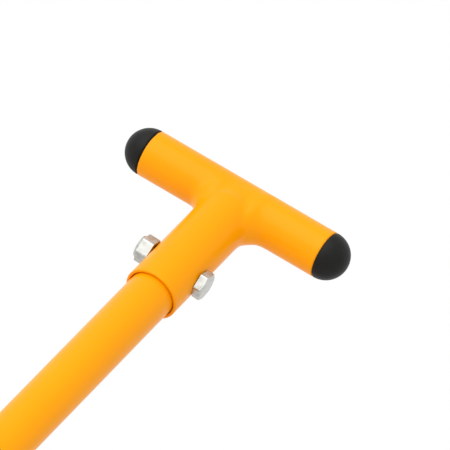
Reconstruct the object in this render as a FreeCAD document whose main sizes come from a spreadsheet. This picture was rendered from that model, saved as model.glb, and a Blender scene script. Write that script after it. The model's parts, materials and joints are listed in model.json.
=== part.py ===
"""Folding parking lock: a T-post that folds down over a ground rail.

The post swings on a hinge at the back of the rail. A brace of the same length as the
hinge-to-pivot distance holds it up, and the brace's foot runs on two rollers along the rail.
A key-driven bolt in a box beside the rail blocks the foot while the post is up.

Frame: millimetres, +Z up from the ground, +X along the rail from the hinge to the far end,
+Y along the crossbar. The origin is the centre of the anchor-hole pattern at ground level.
"""
import FreeCAD, Part
import math
import os
import Sketcher

doc = FreeCAD.newDocument("folding_parking_lock")
sheet = doc.addObject("Spreadsheet::Sheet", "dims")

DRIVING_SIZES = [
    # Linkage
    ("post_angle", 55, "lean of the raised post above the ground, degrees"),
    ("hinge_setback", 200, "hinge axis behind the origin"),
    ("hinge_height", 25, "hinge, pivot and foot axes above the ground when folded"),
    ("arm", 210, "hinge to brace pivot, and brace pivot to foot"),
    ("post_offset", 36, "post tube axis above the line of the pins"),
    # Post and T-head
    ("tube_od", 30, "post and crossbar tube"),
    ("tube_wall", 2, "post and crossbar tube wall"),
    ("head_distance", 600, "hinge to crossbar axis along the post"),
    ("crossbar_length", 126, "crossbar tube between its cut ends"),
    ("crossbar_shift", 0.8, "crossbar's longer arm, half of the difference"),
    ("collar_gap", 1, "radial gap between the post and its collar"),
    ("collar_wall", 1.5, "collar wall"),
    ("collar_reach", 96, "crossbar axis to collar mouth"),
    ("collar_stop", 6, "collar's welded end short of the crossbar axis"),
    ("post_stop", 18, "post tube's top end short of the crossbar axis"),
    ("weld_height", 2.6, "weld build-up over the crossbar"),
    ("weld_spread", 9, "weld spread beyond the collar along the crossbar"),
    ("cap_gap", 0.8, "step between a tube end and its domed cap"),
    ("cap_neck", 0.8, "how far the cap's neck is below the tube's outside"),
    ("cap_shank", 20, "cap shank inside the tube"),
    ("cap_core", 1, "depth of the grooves between the shank's ribs"),
    ("cap_rib", 2.5, "width of one shank rib"),
    ("plug_flange", 2, "end plug's flange below the post tube"),
    ("plug_shank", 20, "end plug's shank inside the post tube"),
    ("head_bolt_inset", 27.5, "head bolt axis above the collar mouth"),
    ("head_bolt_turn", 2.4, "head bolt turned about the post, degrees"),
    ("head_bolt_spin", 8.5, "hexagon turned about the head bolt, degrees"),
    ("head_bolt_seat", 0.6, "depth of the flats pressed into the collar"),
    ("head_bolt_head", 5.4, "low hexagon head height"),
    ("head_nut_height", 9.7, "locking nut height on the head bolt"),
    # Bolts, bushes and lugs
    ("bolt_d", 10, "main bolts and foot axle"),
    ("bolt_hex", 16, "main bolts, across flats"),
    ("bolt_head", 6.4, "main bolt head height"),
    ("nut_height", 10, "locking nut height"),
    ("washer_od", 20, "main washers"),
    ("washer_thick", 2, "main washers"),
    ("bolt_end", 1.5, "thread showing beyond a nut"),
    ("hole_gap", 0.25, "radial clearance of a bolt hole"),
    ("run_gap", 0.05, "radial running fit of pins and bushes"),
    ("seat_gap", 0.05, "radial fit of pieces fixed into each other"),
    ("side_gap", 0.3, "side clearance between moving faces"),
    ("sleeve_od", 18, "hinge and brace sleeves"),
    ("sleeve_wall", 2, "hinge and brace sleeves"),
    ("bush_flange", 1.7, "bush flange thickness"),
    ("bush_length", 12, "bush barrel length"),
    ("lug_thick", 4, "lug plates under the post"),
    ("lug_eye", 14, "outer radius of a lug around its pin"),
    ("lug_lap", 6, "lug above the tube axis"),
    ("hinge_lug_front", 60, "hinge lug weld reach along the post"),
    ("hinge_lug_back", 2, "hinge lug behind the tube end"),
    ("brace_lug_half", 30, "brace lug weld reach each way"),
    # Brace and foot
    ("brace_od", 22, "brace tube"),
    ("brace_wall", 1.5, "brace tube wall"),
    ("brace_cut", 6, "brace tube end short of each pin axis"),
    ("foot_sleeve_half", 20, "half length of the foot sleeve"),
    ("roller_rise", 0.3, "roller above the rail web and below the strips"),
    ("roller_width", 11.4, "foot roller"),
    ("clip_od", 17, "axle clip"),
    ("clip_thick", 1, "axle clip"),
    ("axle_end", 1, "axle beyond its clip"),
    # Base
    ("anchor_x", 400, "anchor holes along the rail"),
    ("anchor_y", 120, "anchor holes across the rail"),
    ("anchor_hole", 12, "anchor hole diameter"),
    ("plate_width", 60, "anchor plate along the rail"),
    ("plate_edge", 20, "anchor hole to the plate's end"),
    ("plate_thick", 4, "anchor plate"),
    ("rail_width", 80, "rail channel outside"),
    ("rail_wall", 3, "rail channel wall"),
    ("rail_top", 46, "top of the rail above the ground"),
    ("rail_tail", 40, "rail behind the hinge axis"),
    ("rail_end", 250, "rail ahead of the origin"),
    ("strip_start", 30, "guide strips begin ahead of the origin"),
    ("strip_lip", 9, "guide strip width"),
    ("strip_thick", 3, "guide strip"),
    ("buffer_place", 100, "buffer behind the origin"),
    ("buffer_length", 30, "buffer along the rail"),
    ("buffer_width", 28, "buffer across the rail"),
    # Lock
    ("lock_place", 65, "lock bolt ahead of the origin"),
    ("lock_bolt_d", 12, "lock bolt"),
    ("lock_tip", 37.3, "retracted tip from the rail's middle"),
    ("lock_tail", 82, "retracted tail from the rail's middle"),
    ("lock_throw", 12, "lock bolt travel"),
    ("guide_length", 12, "bolt guide sleeve"),
    ("guide_wall", 3, "bolt guide sleeve wall"),
    ("slot_floor", 3, "bolt left under its cross slot"),
    ("slot_gap", 0.35, "cam pin clearance in the slot"),
    ("key_axis_y", 70, "key axis from the rail's middle"),
    ("cam_pin_d", 5, "cam pin"),
    ("cam_pin_lead", 1, "pin end above the slot floor"),
    ("cam_rim", 0.5, "cam disc beyond its pin"),
    ("cam_bottom", 35, "underside of the cam disc"),
    ("cam_thick", 3, "cam disc"),
    ("box_length", 70, "lock box along the rail"),
    ("box_depth", 62, "lock box across the rail"),
    ("box_wall", 3, "lock box wall"),
    ("cover_thick", 3, "lock box cover"),
    ("boss_r", 5.5, "radius of a screw boss"),
    ("boss_inset", 8, "screw from the box's outside"),
    ("screw_d", 5, "cover screw"),
    ("screw_head_d", 9.5, "cover screw head"),
    ("screw_head", 2.8, "cover screw head height"),
    ("screw_length", 14, "cover screw under its head"),
    ("bed_half", 8, "half width of the bolt bed"),
    ("bed_front", 62, "bed's near face from the rail's middle"),
    ("bed_back", 88, "bed's far face from the rail's middle"),
    ("bed_top", 24, "top of the bolt bed"),
    ("plug_d", 13, "lock plug"),
    ("plug_step", 0.3, "plug below its collar's face"),
    ("barrel_d", 19, "lock cylinder barrel"),
    ("flange_d", 26, "lock cylinder flange"),
    ("flange_thick", 3, "lock cylinder flange"),
    ("cylinder_nut_hex", 24, "cylinder nut across flats"),
    ("cylinder_nut_height", 4, "cylinder nut"),
    ("cam_screw_d", 4, "screw that holds the cam"),
    ("cam_screw_head_d", 8, "cam screw head"),
    ("cam_screw_head", 3, "cam screw head height"),
    ("cam_screw_grip", 5, "cam screw in the plug"),
    ("key_thick", 2, "key"),
    ("key_blade", 7, "key blade width"),
    ("key_depth", 7, "key blade in the plug"),
    ("key_neck", 3, "key between the plug and the bow"),
    ("key_bow", 24, "key bow diameter"),
    ("key_hole", 7, "hole in the key bow"),
    ("key_gap", 0.1, "key clearance in its slot"),
]


class Size:
    """A value together with the sheet expression that gives it."""

    def __init__(self, text, value):
        self.text = text
        self.value = value

    def __add__(self, other):
        other = as_size(other)
        return Size(f"({self.text} + {other.text})", self.value + other.value)

    def __sub__(self, other):
        other = as_size(other)
        return Size(f"({self.text} - {other.text})", self.value - other.value)

    def __mul__(self, other):
        other = as_size(other)
        return Size(f"({self.text} * {other.text})", self.value * other.value)

    def __truediv__(self, other):
        other = as_size(other)
        return Size(f"({self.text} / {other.text})", self.value / other.value)

    def __neg__(self):
        return Size(f"(0 - {self.text})", -self.value)


def as_size(value):
    """A plain number as a Size."""
    if isinstance(value, Size):
        return value
    return Size(f"{value}", float(value))


def cosine(angle):
    return Size(f"cos({angle.text})", math.cos(math.radians(angle.value)))


def sine(angle):
    return Size(f"sin({angle.text})", math.sin(math.radians(angle.value)))


def fill_sheet():
    """Put the driving sizes in the sheet, and give each back as a Size by its name."""
    sizes = {}
    for row, (name, value, note) in enumerate(DRIVING_SIZES, start=1):
        sheet.set(f"A{row}", name)
        sheet.set(f"B{row}", f"{value}")
        sheet.set(f"C{row}", note)
        sheet.setAlias(f"B{row}", name)
        sizes[name] = Size(f"dims.{name}", float(value))
    doc.recompute()
    return sizes


class Names:
    """The driving sizes as attributes."""

    def __init__(self, sizes):
        self.__dict__.update(sizes)


d = Names(fill_sheet())
nodes = {}

# ---------------------------------------------------------------- worked-out sizes

COS_POST = cosine(d.post_angle)
SIN_POST = sine(d.post_angle)
COS_30 = cosine(as_size(30))
COS_45 = cosine(as_size(45))
HINGE_X = -d.hinge_setback
PIVOT_X = HINGE_X + d.arm * COS_POST
PIVOT_Z = d.hinge_height + d.arm * SIN_POST
TUBE_R = d.tube_od / 2
TUBE_BORE = TUBE_R - d.tube_wall
BOLT_R = d.bolt_d / 2
BOLT_HOLE = BOLT_R + d.hole_gap
SLEEVE_R = d.sleeve_od / 2
SLEEVE_BORE = SLEEVE_R - d.sleeve_wall
LUG_MIDDLE = TUBE_R + d.lug_thick / 2
LUG_FACE = TUBE_R + d.lug_thick
RAIL_HALF = d.rail_width / 2
RAIL_INNER = RAIL_HALF - d.rail_wall
WEB_TOP = d.plate_thick + d.rail_wall
HINGE_SLEEVE_HALF = RAIL_INNER - d.side_gap - d.bush_flange
EYE_HALF = TUBE_R - d.side_gap - d.bush_flange
ROLLER_START = d.foot_sleeve_half + d.washer_thick + d.side_gap
CLIP_START = ROLLER_START + d.roller_width + d.side_gap
COLLAR_BORE = TUBE_R + d.collar_gap
COLLAR_R = COLLAR_BORE + d.collar_wall
LOCK_R = d.lock_bolt_d / 2
CAM_THROW = d.lock_throw / 2 / COS_45
CAM_NEAR = CAM_THROW * COS_45
KEY_X = d.lock_place + (CAM_THROW + CAM_NEAR) / 2
SLOT_Y = d.key_axis_y + CAM_NEAR
BOX_BACK = RAIL_HALF + d.box_depth
COVER_TOP = d.rail_top + d.cover_thick
CAM_TOP = d.cam_bottom + d.cam_thick
PLUG_TOP = COVER_TOP + d.flange_thick - d.plug_step
ALONG_Z = "rotationx(0)"
ALONG_Y = "rotationx(-90)"
ALONG_X = "rotationy(90)"


# ---------------------------------------------------------------- building blocks

def bind(thing, **sizes):
    """Bind properties of a document object to sizes."""
    for name, size in sizes.items():
        thing.setExpression(name, as_size(size).text)


def put(thing, x=0, y=0, z=0, turn=ALONG_Z):
    """Bind an object's placement to a point and a rotation."""
    point = "; ".join(as_size(value).text for value in (x, y, z))
    thing.setExpression("Placement", f"placement(vector({point}); {turn})")
    return thing


def cylinder(radius, length, x=0, y=0, z=0, turn=ALONG_Z):
    thing = doc.addObject("Part::Cylinder", "round")
    bind(thing, Radius=radius, Height=length)
    return put(thing, x, y, z, turn)


def cone(radius, top_radius, length, x=0, y=0, z=0, turn=ALONG_Z):
    thing = doc.addObject("Part::Cone", "taper")
    bind(thing, Radius1=radius, Radius2=top_radius, Height=length)
    return put(thing, x, y, z, turn)


def hexagon(across_flats, height, z=0):
    thing = doc.addObject("Part::Prism", "hexagon")
    thing.Polygon = 6
    bind(thing, Circumradius=as_size(across_flats) / 2 / COS_30, Height=height)
    return put(thing, z=z)


def box(x_low, x_high, y_low, y_high, z_low, z_high):
    thing = doc.addObject("Part::Box", "block")
    bind(
        thing,
        Length=as_size(x_high) - x_low,
        Width=as_size(y_high) - y_low,
        Height=as_size(z_high) - z_low,
    )
    return put(thing, x_low, y_low, z_low)


def fuse(*things):
    joined = doc.addObject("Part::MultiFuse", "joined")
    joined.Shapes = list(things)
    return joined


def cut(base, *tools):
    trimmed = doc.addObject("Part::Cut", "trimmed")
    trimmed.Base = base
    trimmed.Tool = tools[0] if len(tools) == 1 else fuse(*tools)
    return trimmed


def common(first, second):
    shared = doc.addObject("Part::Common", "shared")
    shared.Base = first
    shared.Tool = second
    return shared


def ring(radius, bore, length, z=0):
    """A tube along Z that starts at z."""
    return cut(cylinder(radius, length, z=z), cylinder(bore, length, z=z))


def pair(maker):
    """Two separate solids: the maker's piece above the XY plane, and its mirror image below."""
    upper = maker()
    lower = doc.addObject("Part::Mirroring", "mirror")
    lower.Source = maker()
    lower.Normal = (0, 0, 1)
    both = doc.addObject("Part::Compound", "both")
    both.Links = [upper, lower]
    return both


def origin_plane(body, role):
    return next(plane for plane in body.Origin.OriginFeatures if plane.Role == role)


def new_sketch(body, role):
    sketch = body.newObject("Sketcher::SketchObject", "outline")
    sketch.AttachmentSupport = [(origin_plane(body, role), "")]
    sketch.MapMode = "FlatFace"
    return sketch


def fix_point(sketch, edge, end, point):
    """Hold one end of a sketch edge at a point."""
    for kind, size in zip(("DistanceX", "DistanceY"), point):
        index = sketch.addConstraint(Sketcher.Constraint(kind, -1, 1, edge, end, size.value))
        sketch.setExpression(f"Constraints[{index}]", size.text)


def vector(point):
    return FreeCAD.Vector(point[0].value, point[1].value, 0)


def draw_outline(sketch, points):
    """A closed outline of straight edges through the points."""
    points = [(as_size(x), as_size(y)) for x, y in points]
    first = sketch.GeometryCount
    for index, start in enumerate(points):
        end = points[(index + 1) % len(points)]
        sketch.addGeometry(Part.LineSegment(vector(start), vector(end)), False)
    for index in range(len(points)):
        following = (index + 1) % len(points)
        sketch.addConstraint(Sketcher.Constraint("Coincident", first + index, 2, first + following, 1))
        fix_point(sketch, first + index, 1, points[index])


def draw_circle(sketch, radius, x=0, y=0):
    centre = (as_size(x), as_size(y))
    circle = Part.Circle(vector(centre), FreeCAD.Vector(0, 0, 1), as_size(radius).value)
    index = sketch.addGeometry(circle, False)
    fix_point(sketch, index, 3, centre)
    constraint = sketch.addConstraint(Sketcher.Constraint("Radius", index, as_size(radius).value))
    sketch.setExpression(f"Constraints[{constraint}]", as_size(radius).text)


def pad(body, sketch, length, midplane=False):
    feature = body.newObject("PartDesign::Pad", "pad")
    feature.Profile = sketch
    bind(feature, Length=length)
    if midplane:
        feature.SideType = "Symmetric"
    sketch.Visibility = False
    return feature


def turned(label, points, plane="XZ_Plane", axis="V_Axis"):
    """A body revolved about its own Z axis: the points are (radius, height) pairs."""
    body = doc.addObject("PartDesign::Body", label)
    sketch = new_sketch(body, plane)
    draw_outline(sketch, points)
    feature = body.newObject("PartDesign::Revolution", "turning")
    feature.Profile = sketch
    feature.ReferenceAxis = (sketch, [axis])
    feature.Angle = 360
    return body


def add_node(label, thing):
    """Name a finished sub-part."""
    thing.Label = label
    nodes[label] = thing
    return thing


def on_base(label, thing, x=0, y=0, z=0, turn=ALONG_Z):
    return add_node(label, put(thing, x, y, z, turn))


def on_post(label, thing, along=0, rise=0, aside=0, turn=ALONG_Z):
    """Place a sub-part on the raised post: along it, and above the line of its pins."""
    x = HINGE_X + as_size(along) * COS_POST - as_size(rise) * SIN_POST
    z = d.hinge_height + as_size(along) * SIN_POST + as_size(rise) * COS_POST
    return add_node(label, put(thing, x, aside, z, f"rotationy(0 - {d.post_angle.text}) * {turn}"))


def on_brace(label, thing, along=0, aside=0, turn=ALONG_Z):
    """Place a sub-part on the brace: along it from the pivot towards the foot."""
    x = PIVOT_X + as_size(along) * COS_POST
    z = PIVOT_Z - as_size(along) * SIN_POST
    return add_node(label, put(thing, x, aside, z, f"rotationy({d.post_angle.text}) * {turn}"))


# ---------------------------------------------------------------- base

def anchor_plate(label, x):
    body = doc.addObject("PartDesign::Body", label)
    half_x = d.plate_width / 2
    half_y = d.anchor_y / 2 + d.plate_edge
    outline = new_sketch(body, "XY_Plane")
    draw_outline(outline, [(-half_x, -half_y), (half_x, -half_y), (half_x, half_y), (-half_x, half_y)])
    for side in (-1, 1):
        draw_circle(outline, d.anchor_hole / 2, 0, d.anchor_y / 2 * side)
    pad(body, outline, d.plate_thick)
    on_base(label, body, x=x)


def base_rail():
    length = d.hinge_setback + d.rail_tail + d.rail_end
    body = doc.addObject("PartDesign::Body", "base_rail")
    section = new_sketch(body, "YZ_Plane")
    draw_outline(section, [
        (-RAIL_HALF, 0),
        (RAIL_HALF, 0),
        (RAIL_HALF, d.rail_top - d.plate_thick),
        (RAIL_INNER, d.rail_top - d.plate_thick),
        (RAIL_INNER, d.rail_wall),
        (-RAIL_INNER, d.rail_wall),
        (-RAIL_INNER, d.rail_top - d.plate_thick),
        (-RAIL_HALF, d.rail_top - d.plate_thick),
    ])
    pad(body, section, length)
    put(body, HINGE_X - d.rail_tail, 0, d.plate_thick)
    hinge_hole = cylinder(BOLT_HOLE, d.rail_width, HINGE_X, -RAIL_HALF, d.hinge_height, ALONG_Y)
    lock_hole = cylinder(LOCK_R + d.hole_gap, RAIL_HALF, d.lock_place, -RAIL_HALF, d.hinge_height, ALONG_Y)
    add_node("base_rail", cut(body, hinge_hole, lock_hole))


def guide_strip(label, side):
    """A lip welded inside the rail's top edge, over one foot roller."""
    body = doc.addObject("PartDesign::Body", label)
    section = new_sketch(body, "YZ_Plane")
    half = d.strip_lip / 2
    draw_outline(section, [(-half, -d.strip_thick), (half, -d.strip_thick), (half, 0), (-half, 0)])
    pad(body, section, d.rail_end - d.strip_start)
    on_base(label, body, d.strip_start, (RAIL_INNER - half) * side, d.rail_top)


def rest_buffer():
    """The rubber block that the folded post lies on."""
    half_x = d.buffer_length / 2
    half_y = d.buffer_width / 2
    top = d.hinge_height + d.post_offset - TUBE_R - d.side_gap
    body = doc.addObject("PartDesign::Body", "rest_buffer")
    outline = new_sketch(body, "XY_Plane")
    draw_outline(outline, [(-half_x, -half_y), (half_x, -half_y), (half_x, half_y), (-half_x, half_y)])
    pad(body, outline, top - WEB_TOP)
    on_base("rest_buffer", body, -d.buffer_place, 0, WEB_TOP)


# ---------------------------------------------------------------- bolts, bushes and lugs

def bolt_set(place, prefix, face, **position):
    """Bolt, washers and nut through two walls whose outer faces are at plus and minus face."""
    seat = face + d.washer_thick
    shank = seat * 2 + d.nut_height + d.bolt_end
    bolt = fuse(hexagon(d.bolt_hex, d.bolt_head, z=seat), cylinder(BOLT_R, shank, z=seat - shank))
    place(f"{prefix}_bolt", bolt, turn=ALONG_Y, **position)
    washer = pair(lambda: ring(d.washer_od / 2, BOLT_R + d.hole_gap, d.washer_thick, z=face))
    place(f"{prefix}_washers", washer, turn=ALONG_Y, **position)
    nut = cut(
        hexagon(d.bolt_hex, d.nut_height, z=-seat - d.nut_height),
        cylinder(BOLT_R + d.seat_gap, d.nut_height, z=-seat - d.nut_height),
    )
    place(f"{prefix}_nut", nut, turn=ALONG_Y, **position)


def flanged_bushes(half_length):
    """Two flanged bushes in the ends of a sleeve along Z."""
    def bush():
        barrel = cylinder(SLEEVE_BORE - d.seat_gap, d.bush_length, z=half_length - d.bush_length)
        flange = cylinder(SLEEVE_R, d.bush_flange, z=half_length)
        length = d.bush_length + d.bush_flange
        hole = cylinder(BOLT_R + d.run_gap, length, z=half_length - d.bush_length)
        return cut(fuse(barrel, flange), hole)
    return pair(bush)


def lug_plate(label, hole, back, front, along, side):
    """A plate from the post tube down round a pin, with a round lower end."""
    body = doc.addObject("PartDesign::Body", label)
    sketch = new_sketch(body, "XZ_Plane")
    top = d.post_offset + d.lug_lap
    centre = FreeCAD.Vector(0, 0, 0)
    eye = Part.ArcOfCircle(
        Part.Circle(centre, FreeCAD.Vector(0, 0, 1), d.lug_eye.value), math.pi, 2 * math.pi
    )
    sketch.addGeometry(eye, False)
    corners = [(d.lug_eye, as_size(0)), (front, top), (-back, top), (-d.lug_eye, as_size(0))]
    for start, end in zip(corners, corners[1:]):
        sketch.addGeometry(Part.LineSegment(vector(start), vector(end)), False)
    fix_point(sketch, 0, 3, (as_size(0), as_size(0)))
    fix_point(sketch, 0, 1, corners[3])
    sketch.addConstraint(Sketcher.Constraint("Coincident", 0, 2, 1, 1))
    sketch.addConstraint(Sketcher.Constraint("Horizontal", 0, 1, 0, 2))
    for edge, corner in ((1, corners[1]), (2, corners[2])):
        fix_point(sketch, edge, 2, corner)
        sketch.addConstraint(Sketcher.Constraint("Coincident", edge, 2, edge + 1, 1))
    sketch.addConstraint(Sketcher.Constraint("Coincident", 3, 2, 0, 1))
    draw_circle(sketch, hole)
    pad(body, sketch, d.lug_thick, midplane=True)
    on_post(label, body, along, 0, LUG_MIDDLE * side)


def hinge():
    bolt_set(on_base, "hinge", RAIL_HALF, x=HINGE_X, z=d.hinge_height)
    half = HINGE_SLEEVE_HALF
    on_post("hinge_sleeve", sleeve_body("hinge_sleeve_blank", SLEEVE_R, SLEEVE_BORE, half), turn=ALONG_Y)
    on_post("hinge_bushes", flanged_bushes(half), turn=ALONG_Y)
    for name, side in (("left", 1), ("right", -1)):
        label = f"hinge_lug_{name}"
        lug_plate(label, SLEEVE_R + d.seat_gap, d.hinge_lug_back, d.hinge_lug_front, 0, side)


def brace_pivot():
    bolt_set(on_post, "pivot", LUG_FACE, along=d.arm)
    for name, side in (("left", 1), ("right", -1)):
        label = f"brace_lug_{name}"
        lug_plate(label, BOLT_HOLE, d.brace_lug_half, d.brace_lug_half, d.arm, side)


# ---------------------------------------------------------------- post and T-head

def tube_body(name, radius, bore, length):
    """A tube along Z from the XY plane."""
    return turned(name, [(bore, 0), (radius, 0), (radius, length), (bore, length)])


def sleeve_body(name, radius, bore, half):
    """A tube along Z, centred on the XY plane."""
    return turned(name, [(bore, -half), (radius, -half), (radius, half), (bore, half)])


def head_bolt_line(radius, height):
    """The head bolt's hole through a tube that stands along Z, at a height."""
    reach = COLLAR_R * 2
    x = reach * sine(d.head_bolt_turn)
    y = -reach * cosine(d.head_bolt_turn)
    turn = f"rotationz({d.head_bolt_turn.text}) * {ALONG_Y}"
    return cylinder(radius, reach * 2, x, y, height, turn)


def head_bolt_flats(height):
    """Two discs that press flats into the collar where the head bolt bears."""
    seat = COLLAR_R - d.head_bolt_seat
    turn = f"rotationz({d.head_bolt_turn.text}) * {ALONG_Y}"
    discs = pair(lambda: cylinder(d.bolt_hex / 2 / COS_30 + d.hole_gap, COLLAR_R, z=seat))
    return put(discs, z=height, turn=turn)


HEAD_BOLT_ALONG = d.head_distance - d.collar_reach + d.head_bolt_inset


def post_tube():
    tube = tube_body("post_tube_blank", TUBE_R, TUBE_BORE, d.head_distance - d.post_stop)
    tube = cut(tube, head_bolt_line(BOLT_HOLE, HEAD_BOLT_ALONG))
    on_post("post_tube", tube, 0, d.post_offset, turn=ALONG_X)
    neck = TUBE_BORE - d.seat_gap
    plug = turned("post_end_plug", [
        (0, -d.plug_flange),
        (TUBE_R, -d.plug_flange),
        (TUBE_R, 0),
        (neck, 0),
        (neck, d.plug_shank),
        (0, d.plug_shank),
    ])
    on_post("post_end_plug", plug, 0, d.post_offset, turn=ALONG_X)


def head_collar():
    """The collar from its mouth to the crossbar, with its end cut to the crossbar's curve."""
    mouth = d.head_distance - d.collar_reach
    tube = tube_body("collar_blank", COLLAR_R, COLLAR_BORE, d.collar_reach - d.collar_stop)
    crossbar = cylinder(TUBE_R, COLLAR_R * 4, 0, -COLLAR_R * 2, d.collar_reach, ALONG_Y)
    bolt_hole = head_bolt_line(BOLT_HOLE, d.head_bolt_inset)
    collar = cut(tube, crossbar, bolt_hole, head_bolt_flats(d.head_bolt_inset))
    on_post("head_collar", collar, mouth, d.post_offset, turn=ALONG_X)


def head_weld():
    """A weld band round the joint: a double cone about the post, inside a tube about the crossbar."""
    wide = COLLAR_R + d.weld_spread
    narrow = COLLAR_R
    low = wide - narrow
    to_crossbar = cone(narrow, wide, low, z=-TUBE_R - low)
    over_crossbar = cone(wide, narrow, TUBE_R, z=-TUBE_R)
    half = wide + d.weld_height
    skin = cylinder(TUBE_R + d.weld_height, half * 2, 0, -half, 0, ALONG_Y)
    crossbar = cylinder(TUBE_R, half * 2, 0, -half, 0, ALONG_Y)
    collar = cylinder(COLLAR_R, d.collar_reach - d.collar_stop, z=-d.collar_reach)
    weld = cut(common(fuse(to_crossbar, over_crossbar), skin), crossbar, collar)
    on_post("head_weld", weld, d.head_distance, d.post_offset, turn=ALONG_X)


def crossbar():
    tube = sleeve_body("crossbar_blank", TUBE_R, TUBE_BORE, d.crossbar_length / 2)
    on_post("head_crossbar", tube, d.head_distance, d.post_offset, d.crossbar_shift, ALONG_Y)


def head_cap(label, side):
    """A domed plug: its neck sets the dome off the tube's end, and its ribbed shank grips the bore."""
    dome = doc.addObject("Part::Sphere", "dome")
    bind(dome, Radius=TUBE_R, Angle1=0, Angle2=90)
    put(dome, z=d.cap_gap)
    neck = cylinder(TUBE_R - d.cap_neck, d.cap_gap)
    core = cylinder(TUBE_BORE - d.seat_gap - d.cap_core, d.cap_shank, z=-d.cap_shank)
    ribs = [
        cylinder(TUBE_BORE - d.seat_gap, d.cap_rib, z=-d.cap_rib * (2 * index + 1))
        for index in range(3)
    ]
    cap = fuse(dome, neck, core, *ribs)
    turn = ALONG_Y if side > 0 else "rotationx(90)"
    across = d.crossbar_shift + d.crossbar_length / 2 * side
    on_post(label, cap, d.head_distance, d.post_offset, across, turn)


def head_bolt():
    """The bolt across the collar and post, with its head low on the right and its nut on the left."""
    seat = COLLAR_R - d.head_bolt_seat
    turn = f"rotationx(90 + {d.head_bolt_turn.text}) * rotationz({d.head_bolt_spin.text})"
    shank = seat * 2 + d.head_nut_height - d.bolt_end
    bolt = fuse(hexagon(d.bolt_hex, d.head_bolt_head, z=seat), cylinder(BOLT_R, shank, z=seat - shank))
    on_post("head_bolt", bolt, HEAD_BOLT_ALONG, d.post_offset, turn=turn)
    nut = cut(
        hexagon(d.bolt_hex, d.head_nut_height, z=-seat - d.head_nut_height),
        cylinder(BOLT_R + d.seat_gap, d.head_nut_height, z=-seat - d.head_nut_height),
    )
    on_post("head_nut", nut, HEAD_BOLT_ALONG, d.post_offset, turn=turn)


# ---------------------------------------------------------------- brace and foot

def brace():
    bore = d.brace_od / 2 - d.brace_wall
    tube = tube_body("brace_blank", d.brace_od / 2, bore, d.arm - d.brace_cut * 2)
    sleeves = [
        cylinder(SLEEVE_R, d.brace_od * 2, 0, -d.brace_od, place, ALONG_Y)
        for place in (-d.brace_cut, d.arm - d.brace_cut)
    ]
    on_brace("brace_tube", cut(tube, *sleeves), d.brace_cut, turn=ALONG_X)
    half = EYE_HALF
    on_brace("brace_eye", sleeve_body("brace_eye_blank", SLEEVE_R, SLEEVE_BORE, half), turn=ALONG_Y)
    on_brace("eye_bushes", flanged_bushes(half), turn=ALONG_Y)


def foot():
    half = d.foot_sleeve_half
    bore = BOLT_R + d.seat_gap
    sleeve = turned("foot_sleeve", [(bore, -half), (SLEEVE_R, -half), (SLEEVE_R, half), (bore, half)])
    on_brace("foot_sleeve", sleeve, d.arm, turn=ALONG_Y)
    end = CLIP_START + d.clip_thick + d.axle_end
    axle = turned("foot_axle", [(0, -end), (BOLT_R, -end), (BOLT_R, end), (0, end)])
    on_brace("foot_axle", axle, d.arm, turn=ALONG_Y)
    washers = pair(lambda: ring(SLEEVE_R, BOLT_R + d.seat_gap, d.washer_thick, z=half))
    on_brace("foot_washers", washers, d.arm, turn=ALONG_Y)
    clips = pair(lambda: ring(d.clip_od / 2, BOLT_R + d.seat_gap, d.clip_thick, z=CLIP_START))
    on_brace("axle_clips", clips, d.arm, turn=ALONG_Y)
    roller_r = d.hinge_height - WEB_TOP - d.roller_rise
    for name, side in (("left", 1), ("right", -1)):
        label = f"foot_roller_{name}"
        low = ROLLER_START if side > 0 else -ROLLER_START - d.roller_width
        high = low + d.roller_width
        bore = BOLT_R + d.run_gap
        roller = turned(label, [(bore, low), (roller_r, low), (roller_r, high), (bore, high)])
        on_brace(label, roller, d.arm, turn=ALONG_Y)


# ---------------------------------------------------------------- lock

def lock_box():
    """A box open at its top and towards the rail, with a tapped boss in each corner."""
    low_x = KEY_X - d.box_length / 2
    high_x = KEY_X + d.box_length / 2
    outside = box(low_x, high_x, -BOX_BACK, -RAIL_HALF, d.plate_thick, d.rail_top)
    wall = d.box_wall
    inside = box(low_x + wall, high_x - wall, wall - BOX_BACK, wall - RAIL_HALF, WEB_TOP, d.rail_top + wall)
    bosses = [cylinder(d.boss_r, d.rail_top - WEB_TOP, x, y, WEB_TOP) for x, y in screw_places()]
    holes = [
        cylinder(d.screw_d / 2 + d.seat_gap, d.screw_length, x, y, COVER_TOP - d.screw_length)
        for x, y in screw_places()
    ]
    add_node("lock_housing", cut(fuse(cut(outside, inside), *bosses), *holes))
    lid = box(low_x, high_x, -BOX_BACK, -RAIL_INNER, d.rail_top, COVER_TOP)
    barrel = cylinder(d.barrel_d / 2 + d.hole_gap, d.cover_thick, KEY_X, -d.key_axis_y, d.rail_top)
    through = [
        cylinder(d.screw_d / 2 + d.hole_gap, d.cover_thick, x, y, d.rail_top) for x, y in screw_places()
    ]
    add_node("lock_cover", cut(lid, barrel, *through))
    screws = doc.addObject("Part::Compound", "screws")
    screws.Links = [cover_screw(x, y) for x, y in screw_places()]
    add_node("cover_screws", screws)


def screw_places():
    """The four cover screws, in the corners of the box."""
    side = d.box_length / 2 - d.boss_inset
    return [
        (KEY_X + side * along, y)
        for along in (-1, 1)
        for y in (d.boss_inset - BOX_BACK, -RAIL_HALF - d.boss_inset)
    ]


def cover_screw(x, y):
    head = cylinder(d.screw_head_d / 2, d.screw_head)
    shank = cylinder(d.screw_d / 2, d.screw_length, z=-d.screw_length)
    return put(fuse(head, shank), x, y, COVER_TOP)


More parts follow.
